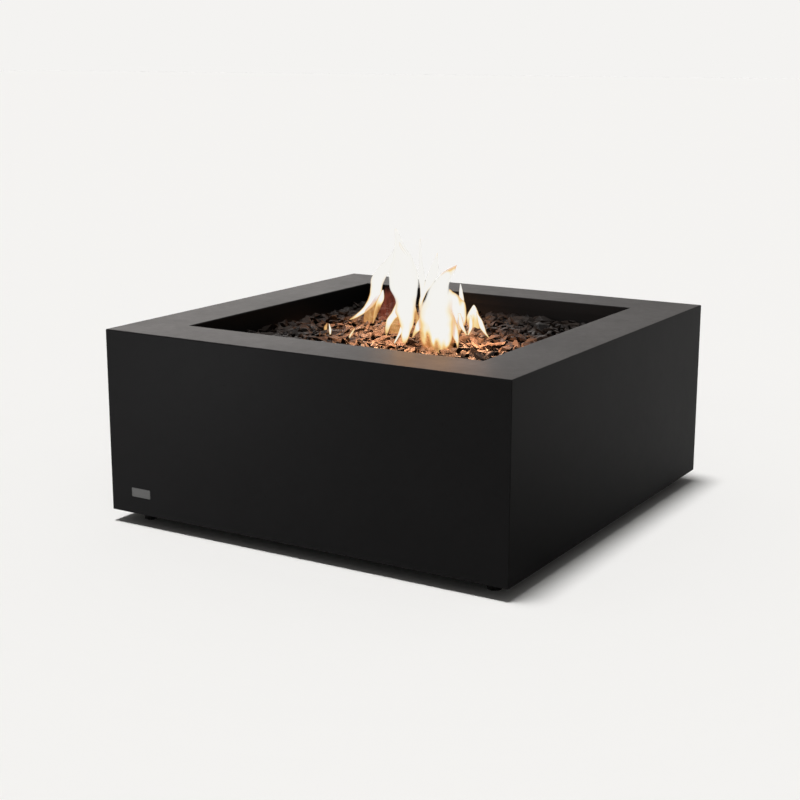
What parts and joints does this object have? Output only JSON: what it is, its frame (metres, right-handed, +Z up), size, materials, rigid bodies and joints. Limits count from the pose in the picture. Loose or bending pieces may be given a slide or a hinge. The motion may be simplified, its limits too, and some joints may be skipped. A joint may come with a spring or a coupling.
{
  "type": "gas fire pit table",
  "caption": "Low square cast-concrete fire pit table with a wide rim, a sunk glass bed over a ring burner, and knob and igniter controls in its rear wall.",
  "frame": {"origin": "on the ground under the middle of the table", "axes": "+Z up, the front face with its small plate looks along -Y, the controls are in the rear wall at +Y"},
  "size_m": [1.016, 1.0162, 0.446],
  "materials": {
    "cast_graphite": "satin",
    "plate_metal": "satin",
    "foot_rubber": "matte",
    "zinc_steel": "satin",
    "brass": "satin",
    "fibre_strip": "matte",
    "black_steel": "matte",
    "black_glass": "gloss",
    "stainless": "satin",
    "white_ceramic": "satin",
    "copper": "satin",
    "silicone_grey": "matte",
    "silicone_red": "satin",
    "aluminised_steel": "satin",
    "hose_steel": "satin",
    "valve_aluminium": "satin",
    "black_plastic": "satin",
    "red_plastic": "gloss"
  },
  "bodies": {
    "cabinet": {"casing": "cast_graphite", "bowl_ring": "cast_graphite", "nameplate": "plate_metal", "bumper_feet": "foot_rubber", "foot_screws": "zinc_steel", "foot_inserts": "brass", "tray_gasket": "fibre_strip", "burner_tray": "black_steel", "glass_media": "black_glass", "ring_burner": "stainless", "burner_nipple": "zinc_steel", "tray_locknut": "zinc_steel", "pilot_bracket": "stainless", "electrode_insulator": "white_ceramic", "electrode_rod": "stainless", "thermocouple_probe": "copper", "lead_grommets": "silicone_grey", "air_mixer": "brass", "jet_holder": "brass", "hose_nut_mixer": "brass", "hose_nut_valve": "brass", "heat_shield": "aluminised_steel", "shield_spacers": "zinc_steel", "shield_screws": "zinc_steel", "gas_hose": "hose_steel", "ignition_lead": "silicone_red", "thermocouple_lead": "copper", "control_box": "black_steel", "control_box_screws": "zinc_steel", "control_box_inserts": "brass", "valve_body": "valve_aluminium", "valve_gland": "brass", "knob_spring": "stainless", "safety_magnet": "zinc_steel", "thermocouple_nut": "brass", "valve_screws": "zinc_steel", "knob_legend": "plate_metal", "igniter_body": "black_plastic", "igniter_nut": "black_plastic", "igniter_spring": "stainless", "gas_inlet": "brass", "gas_inlet_nut": "brass", "inlet_elbow": "brass", "inlet_union_nut": "brass"},
    "gas_cock": {"valve_plug": "brass"},
    "knob": {"control_knob": "black_plastic", "valve_spindle": "zinc_steel", "knob_grub_screw": "zinc_steel"},
    "shutter_sleeve": {"air_shutter": "zinc_steel", "shutter_screw": "zinc_steel"},
    "spark_button": {"igniter_button": "red_plastic"}
  },
  "joints": [
    {"name": "knob_turn", "type": "hinge", "parent": "cabinet", "child": "gas_cock", "pos_m": [0, 0.43, 0.215], "axis": [0, 1, 0], "range_deg": [0, 180]},
    {"name": "knob_push", "type": "slide", "parent": "gas_cock", "child": "knob", "axis": [0, -1, 0], "range_m": [0, 0.0035], "stiffness_N_per_m": 2500, "springref_m": -0.002, "deforming": ["knob_spring"]},
    {"name": "igniter_press", "type": "slide", "parent": "cabinet", "child": "spark_button", "axis": [0, -1, 0], "range_m": [0, 0.007], "stiffness_N_per_m": 2500, "springref_m": -0.002, "deforming": ["igniter_spring"]},
    {"name": "air_shutter_turn", "type": "hinge", "parent": "cabinet", "child": "shutter_sleeve", "pos_m": [0, 0, 0.274], "axis": [0, 0, 1], "range_deg": [0, 45]}
  ]
}
